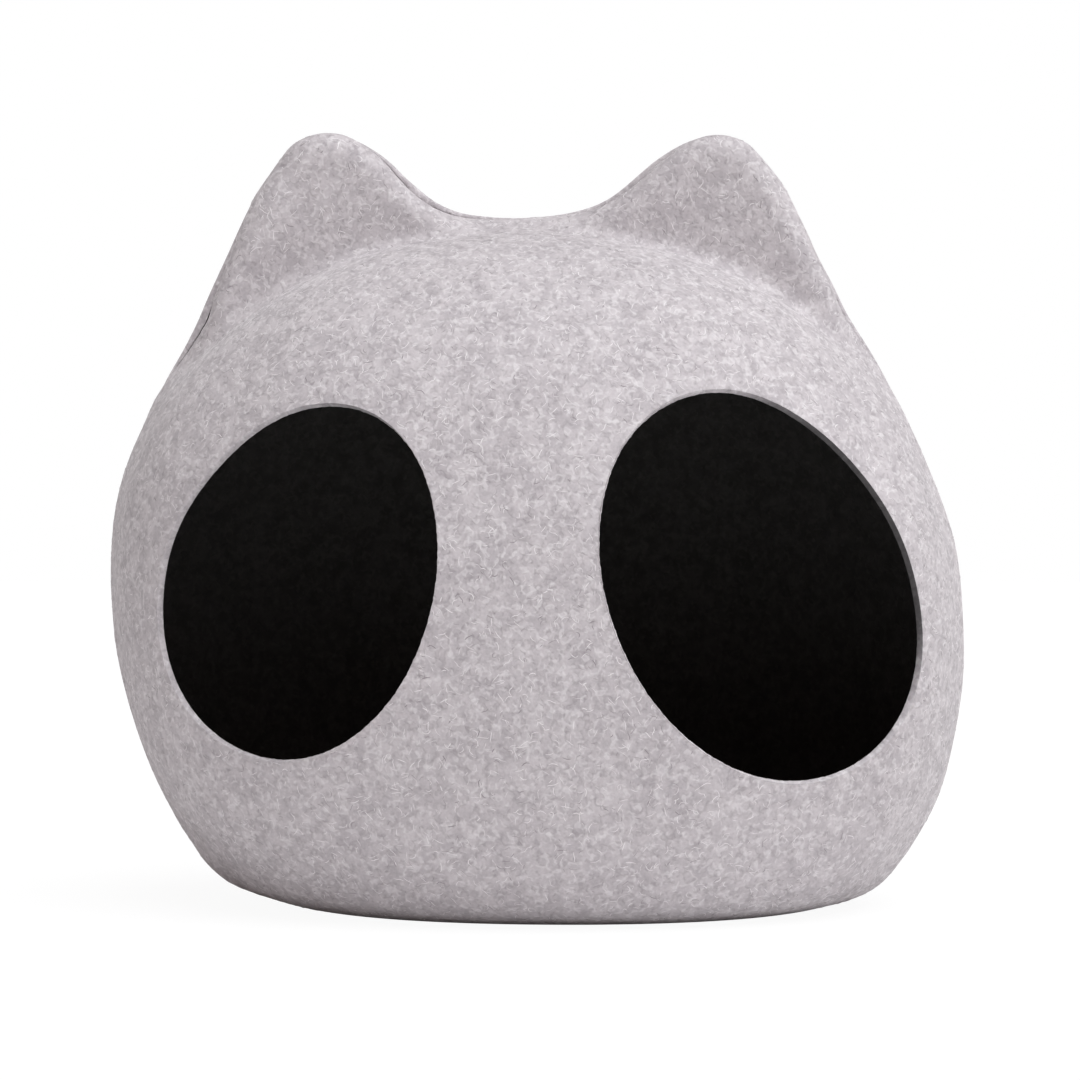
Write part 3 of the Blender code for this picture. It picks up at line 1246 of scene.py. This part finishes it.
@dataclass(frozen=True)
class Web:
    """Uneven thickness of the web of fibre, at one size.

    size is that of its clumps in metres, detail how finely they break up, start where it begins,
    so that no two are alike, and thin and thick are the values that count as 0 and 1.
    """

    size: float
    detail: float
    start: Place
    thin: float = 0.0
    thick: float = 1.0
    roughness: float = 0.55

    def pattern(self, tree: bpy.types.NodeTree, place: Socket) -> tuple[Socket, dict[str, Value]]:
        """Draws the web.

        Args:
            tree: the material's nodes.
            place: where on the felt.

        Returns:
            Its thickness, mostly near a half, and what spreads that from thin to thick.
        """
        moved = add_node(tree, "ShaderNodeVectorMath", {0: place, 1: self.start}, operation="ADD")
        inputs = {"Vector": moved.outputs[0], "Scale": 1 / self.size, "Detail": self.detail}
        inputs["Roughness"] = self.roughness
        thickness = add_node(tree, "ShaderNodeTexNoise", inputs).outputs[0]
        return thickness, {"Value": thickness, "From Min": self.thin, "From Max": self.thick}


@dataclass(frozen=True)
class PressedFelt:
    """Needle-punched polyester felt, pressed hot over a mould.

    The eye gets a dry, matt, mottled face: clouds where the web was thicker, small curls where
    bundles of pale and dark fibre lie on top, and no gloss. Single fibres are 0.03 mm and too
    fine to show, so each curl stands for a bundle.
    """

    name: str
    middle: str
    light: str
    dark: str
    pale_curl: str
    dark_curl: str
    clouds: Web = Web(size=18 * MM, detail=3, start=(0.1, 0.7, 0.3), thin=0.38, thick=0.62)
    patches: Web = Web(size=7 * MM, detail=3, start=(3.1, 0.2, 1.3), thin=0.36, thick=0.64)
    grain: Web = Web(size=1.3 * MM, detail=2, start=(0.5, 2.2, 0.8), thin=0.25, thick=0.75)
    web_stretch: Place = (1.0, 1.6, 1.0)
    middle_share: float = 0.5
    patch_share: float = 0.55
    grain_share: float = 0.07
    grain_relief: float = 0.5
    curl_size: float = 5.5 * MM
    curl_width: float = 0.11
    curl_layers: int = 2
    break_size: float = 3.3 * MM
    break_range: Range = (0.53, 0.64)
    dark_curl_strength: float = 0.30
    pale_curl_strength: float = 0.40
    bump_height: float = 0.15 * MM
    bump_strength: float = 0.6
    roughness: float = 0.93
    ior: float = 1.45
    sheen: float = 0.15
    sheen_roughness: float = 0.5
    # how dark the painted shade gets on a cut edge turned to the shade
    painted_cut_shade: float = 0.0
    painted_shade_range: Range = (0.58, 0.95)

    def material(self) -> bpy.types.Material:
        """Makes the material.

        Returns:
            The material.
        """
        made = bpy.data.materials.new(self.name)
        made.use_nodes = True
        tree = made.node_tree
        shader = tree.nodes["Principled BSDF"]
        shader.inputs["Roughness"].default_value = self.roughness
        shader.inputs["IOR"].default_value = self.ior
        shader.inputs["Sheen Weight"].default_value = self.sheen
        shader.inputs["Sheen Roughness"].default_value = self.sheen_roughness
        place = add_node(tree, "ShaderNodeTexCoord").outputs["Object"]
        along = {0: place, 1: self.web_stretch}
        place = add_node(tree, "ShaderNodeVectorMath", along, operation="DIVIDE").outputs[0]
        tone, height = self.curled(tree, place, self.mottled(tree, place))
        grain, spread = self.grain.pattern(tree, place)
        relief = {0: grain, 1: self.grain_relief, 2: height}
        height = add_node(tree, "ShaderNodeMath", relief, operation="MULTIPLY_ADD").outputs[0]
        specks = add_node(tree, "ShaderNodeMapRange", spread, interpolation_type="SMOOTHSTEP").outputs[0]
        over = {"Factor": self.grain_share, 6: tone, 7: specks}
        tone = add_node(tree, "ShaderNodeMix", over, data_type="RGBA", blend_type="OVERLAY").outputs[2]
        # painted shade on cut edges turned from the light
        if self.painted_cut_shade > 0:
            tone = self.painted_shade(tree, tone)
        tree.links.new(tone, shader.inputs["Base Color"])
        relief = {"Strength": self.bump_strength, "Distance": self.bump_height, "Height": height}
        bump = add_node(tree, "ShaderNodeBump", relief)
        tree.links.new(bump.outputs["Normal"], shader.inputs["Normal"])
        return made

    def mottled(self, tree: bpy.types.NodeTree, place: Socket) -> Socket:
        """Colours the felt in clouds and patches, lighter where the web is thicker.

        Args:
            tree: the material's nodes.
            place: where on the felt.

        Returns:
            The colour.
        """
        tones = []
        for web in (self.clouds, self.patches):
            _, spread = web.pattern(tree, place)
            share = add_node(tree, "ShaderNodeMapRange", spread, interpolation_type="SMOOTHSTEP")
            mix = {"Factor": share.outputs[0], 6: linear(self.dark), 7: linear(self.light)}
            tones.append(add_node(tree, "ShaderNodeMix", mix, data_type="RGBA").outputs[2])
        mix = {"Factor": self.middle_share, 6: tones[0], 7: linear(self.middle)}
        cloudy = add_node(tree, "ShaderNodeMix", mix, data_type="RGBA").outputs[2]
        mix = {"Factor": self.patch_share, 6: cloudy, 7: tones[1]}
        return add_node(tree, "ShaderNodeMix", mix, data_type="RGBA").outputs[2]

    def curled(self, tree: bpy.types.NodeTree, place: Socket, tone: Socket) -> tuple[Socket, Value]:
        """Lays curls of dark fibre and then of pale fibre on the felt.

        Args:
            tree: the material's nodes.
            place: where on the felt.
            tone: the felt's colour.

        Returns:
            The colour with the curls, and how far they lie in or stand up.
        """
        height: Value = 0.0
        layers = (
            (self.dark_curl, self.dark_curl_strength, -1.0),
            (self.pale_curl, self.pale_curl_strength, 1.0),
        )
        for colour, strength, rise in layers:
            for i in range(self.curl_layers):
                curl = self.curls(tree, place, (7.3 * i + 2.0 * rise, 1.7 * i, 4.1 * i + rise))
                share = add_node(tree, "ShaderNodeMath", {0: curl, 1: strength}, operation="MULTIPLY")
                mix = {"Factor": share.outputs[0], 6: tone, 7: linear(colour)}
                tone = add_node(tree, "ShaderNodeMix", mix, data_type="RGBA").outputs[2]
                raised = {0: curl, 1: rise, 2: height}
                height = add_node(tree, "ShaderNodeMath", raised, operation="MULTIPLY_ADD").outputs[0]
        return tone, height

    def curls(self, tree: bpy.types.NodeTree, place: Socket, start: Place) -> Socket:
        """Short curled strokes: where a web is near its middle thickness, broken up by a finer one.

        Args:
            tree: the material's nodes.
            place: where on the felt.
            start: where this layer of curls begins.

        Returns:
            1 in the middle of a stroke, 0 beside it.
        """
        wave, _ = Web(self.curl_size, 1.0, start).pattern(tree, place)
        away = add_node(tree, "ShaderNodeMath", {0: wave, 1: 0.5}, operation="SUBTRACT").outputs[0]
        away = add_node(tree, "ShaderNodeMath", {0: away}, operation="ABSOLUTE").outputs[0]
        line = {"Value": away, "From Min": self.curl_width, "From Max": 0.0}
        elsewhere = (start[2], start[0], start[1] + 5)
        _, breaks = Web(self.break_size, 0.0, elsewhere, *self.break_range).pattern(tree, place)
        shares = {}
        for i, spread in enumerate((line, breaks)):
            share = add_node(tree, "ShaderNodeMapRange", spread, interpolation_type="SMOOTHSTEP")
            shares[i] = share.outputs[0]
        return add_node(tree, "ShaderNodeMath", shares, operation="MULTIPLY").outputs[0]

    def painted_shade(self, tree: bpy.types.NodeTree, tone: Socket) -> Socket:
        """Paints shade on a cut edge: darker the further the cut is turned to the shade.

        Args:
            tree: the material's nodes.
            tone: the felt's colour.

        Returns:
            The colour on a cut edge, with painted shade.
        """
        turned = add_node(tree, "ShaderNodeAttribute", attribute_name=TURNED_TO_SHADE).outputs["Fac"]
        low, high = self.painted_shade_range
        spread = {"Value": turned, "From Min": low, "From Max": high, "To Max": self.painted_cut_shade}
        share = add_node(tree, "ShaderNodeMapRange", spread, interpolation_type="SMOOTHSTEP").outputs[0]
        mix = {"Factor": share, 6: tone, 7: linear("#000000")}
        return add_node(tree, "ShaderNodeMix", mix, data_type="RGBA").outputs[2]


OUTER_FELT = PressedFelt(
    name="grey_pressed_felt",
    middle="#BEB7BA",
    light="#CAC3C6",
    dark="#B0A9AD",
    pale_curl="#E4DFE1",
    dark_curl="#8F878B",
)
# the cut edges' felt: the outer felt with painted shade where the cut is turned to the shade
CUT_FELT_PAINTED_SHADE = replace(OUTER_FELT, name="grey_felt_cut_edge_painted_shade", painted_cut_shade=0.83)
INNER_FELT = PressedFelt(
    name="charcoal_felt_inside",
    middle="#3A3836",
    light="#444140",
    dark="#302E2C",
    pale_curl="#4E4B49",
    dark_curl="#282624",
)


@dataclass(frozen=True)
class FibreFinish:
    """A bundle of loose polyester fibres: matt, a little brighter where light grazes it."""

    name: str
    colour: str
    roughness: float = 0.85
    sheen: float = 0.2

    def material(self) -> bpy.types.Material:
        """Makes the material.

        Returns:
            The material.
        """
        made = bpy.data.materials.new(self.name)
        made.use_nodes = True
        shader = made.node_tree.nodes["Principled BSDF"]
        shader.inputs["Base Color"].default_value = linear(self.colour)
        shader.inputs["Roughness"].default_value = self.roughness
        shader.inputs["Sheen Weight"].default_value = self.sheen
        return made


PALE_FIBRE = FibreFinish(name="pale_felt_fibre", colour="#E6E1E3")
DARK_FIBRE = FibreFinish(name="dark_felt_fibre", colour="#8E868A")


@dataclass(frozen=True)
class Studio:
    """White floor, soft light from above and in front, and the camera."""

    distance: float = 1.7
    azimuth: float = 2.5
    camera_height: float = 0.191
    aim: Place = (-0.0025, 0.0, 0.170)
    lens: float = 115.673
    sensor: float = 36.0
    lens_shift: tuple[float, float] = (0.0081, 0.0153)
    floor_size: float = 16.0

    def build(self) -> None:
        """Makes everything that isn't the cave."""
        self.floor()
        self.sky()
        self.softlight("key_light", azimuth=45, elevation=65, spread=60, strength=3.35, colour="#F8FDFF")
        self.softlight("front_fill", azimuth=50, elevation=6, spread=90, strength=0.28, colour="#FFFEFD")
        self.camera()

    def floor(self) -> None:
        """A wide white floor: light bounces off it as off paper, and to the eye it stays white."""
        half = self.floor_size / 2
        mesh = bpy.data.meshes.new("studio_floor")
        corners = [(-half, -half, 0), (half, -half, 0), (half, half, 0), (-half, half, 0)]
        mesh.from_pydata(corners, [], [(0, 1, 2, 3)])
        finish = bpy.data.materials.new("white_painted_board")
        finish.use_nodes = True
        tree = finish.node_tree
        tree.nodes.clear()
        cast = add_node(tree, "ShaderNodeBsdfDiffuse", {"Color": linear("#FCFCFC")})
        board = add_node(tree, "ShaderNodeBsdfDiffuse", {"Color": linear("#505050")})
        glow = add_node(tree, "ShaderNodeEmission", {"Color": (1, 1, 1, 1), "Strength": 0.94})
        lit = add_node(tree, "ShaderNodeAddShader", {0: board.outputs[0], 1: glow.outputs[0]})
        ray = add_node(tree, "ShaderNodeLightPath").outputs["Is Camera Ray"]
        mix = add_node(tree, "ShaderNodeMixShader", {0: ray, 1: cast.outputs[0], 2: lit.outputs[0]})
        add_node(tree, "ShaderNodeOutputMaterial", {"Surface": mix.outputs[0]})
        mesh.materials.append(finish)
        plane = bpy.data.objects.new("studio_floor", mesh)
        bpy.context.scene.collection.objects.link(plane)

    def sky(self) -> None:
        """Faint warm light all round, and a white backdrop where nothing stands."""
        world = bpy.data.worlds.new("white_room")
        world.use_nodes = True
        tree = world.node_tree
        tree.nodes.clear()
        light = add_node(tree, "ShaderNodeBackground", {"Color": linear("#FFE4DC"), "Strength": 0.165})
        seen = add_node(tree, "ShaderNodeBackground", {"Color": (1, 1, 1, 1), "Strength": 1.0})
        ray = add_node(tree, "ShaderNodeLightPath").outputs["Is Camera Ray"]
        mix = add_node(tree, "ShaderNodeMixShader", {0: ray, 1: light.outputs[0], 2: seen.outputs[0]})
        add_node(tree, "ShaderNodeOutputWorld", {"Surface": mix.outputs[0]})
        bpy.context.scene.world = world

    @staticmethod
    def softlight(
        name: str, azimuth: float, elevation: float, spread: float, strength: float, colour: str
    ) -> None:
        """Light from a wide, far softbox, as even over the floor as over the cave.

        Args:
            name: the light's name.
            azimuth: degrees to the right of the front that it comes from.
            elevation: degrees above the floor that it comes from.
            spread: degrees that the softbox takes up.
            strength: watts on a square metre that faces it.
            colour: sRGB hex.
        """
        data = bpy.data.lights.new(name, "SUN")
        data.angle = math.radians(spread)
        data.energy = strength
        data.color = linear(colour)[:3]
        turn, rise = math.radians(azimuth), math.radians(elevation)
        back = Vector((math.sin(turn) * math.cos(rise), -math.cos(turn) * math.cos(rise), math.sin(rise)))
        light = bpy.data.objects.new(name, data)
        light.location = back * 3
        light.rotation_euler = (-back).to_track_quat("-Z", "Y").to_euler()
        bpy.context.scene.collection.objects.link(light)

    def camera(self) -> None:
        """A long lens at the height of the cave's middle."""
        data = bpy.data.cameras.new("front_camera")
        camera = bpy.data.objects.new("front_camera", data)
        turn = math.radians(self.azimuth)
        place = Vector((math.sin(turn), -math.cos(turn), 0)) * self.distance
        place.z = self.camera_height
        look = Vector(self.aim) - place
        camera.location = place
        camera.rotation_euler = look.to_track_quat("-Z", "Y").to_euler()
        data.sensor_width = self.sensor
        data.lens = self.lens
        data.shift_x, data.shift_y = self.lens_shift
        bpy.context.scene.collection.objects.link(camera)
        bpy.context.scene.camera = camera


@dataclass
class FeltCave:
    """The whole cave: two shells and their fibres.

    BLANK is the size of the flat sheet that each shell is pressed from, and the areas are how much
    of it becomes that shell. shift moves the leaned body along x to stand centred.
    """

    BLANK: ClassVar[tuple[float, float]] = (0.50, 0.46)
    front_area: float = 0.155
    back_area: float = 0.185
    form: BodyForm = BodyForm()
    stand: SoftStand = SoftStand()
    cells: int = 176
    pale_seed: int = 21
    dark_seed: int = 31
    sheet: FrontSheet = field(init=False)
    shift: float = field(init=False)

    def __post_init__(self) -> None:
        """Lays out the sheet that both shells share."""
        self.sheet = FrontSheet(self.form, self.cells)
        leaned = self.stand.lean(self.sheet.points)[:, 0]
        box_middle = (CAD_BOX[0][0] + CAD_BOX[1][0]) / 2
        self.shift = box_middle - (leaned.min() + leaned.max()) / 2

    def build(self) -> None:
        """Makes both shells and their fibres, and puts each under the body."""
        felts = {Side.OUTER: OUTER_FELT, Side.INNER: INNER_FELT, Side.CUT: CUT_FELT_PAINTED_SHADE}
        felts = {side: felt.material() for side, felt in felts.items()}
        pale, dark = PALE_FIBRE.material(), DARK_FIBRE.material()
        halves = ((Half.FRONT, OPENINGS, self.front_area), (Half.BACK, (), self.back_area))
        for half, openings, area in halves:
            word = half.name.lower()
            shell = FeltShell(self.form, self.stand, half, openings)
            body = shell.build(f"{word}_felt_shell", self.sheet, self.shift, felts)
            coat = FibreCoat(shell, self.shift)
            fibres = [
                coat.build(f"{word}_pale_fibres", PALE_FIBRES, self.pale_seed + half.value, pale),
                coat.build(f"{word}_dark_fibres", DARK_FIBRES, self.dark_seed + half.value, dark),
            ]
            for piece in [body, *fibres]:
                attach(piece, BODY)
                LOG.info("%s: %d faces", piece.name, len(piece.data.polygons))
            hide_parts(f"{word}_shell")


def main() -> None:
    """Builds the cave and the studio round it."""
    logging.basicConfig(level=logging.INFO, format="%(name)s: %(message)s")
    bpy.context.scene.view_settings.view_transform = "Standard"
    FeltCave().build()
    Studio().build()
    bpy.context.view_layer.update()


if __name__ == "__main__":
    main()
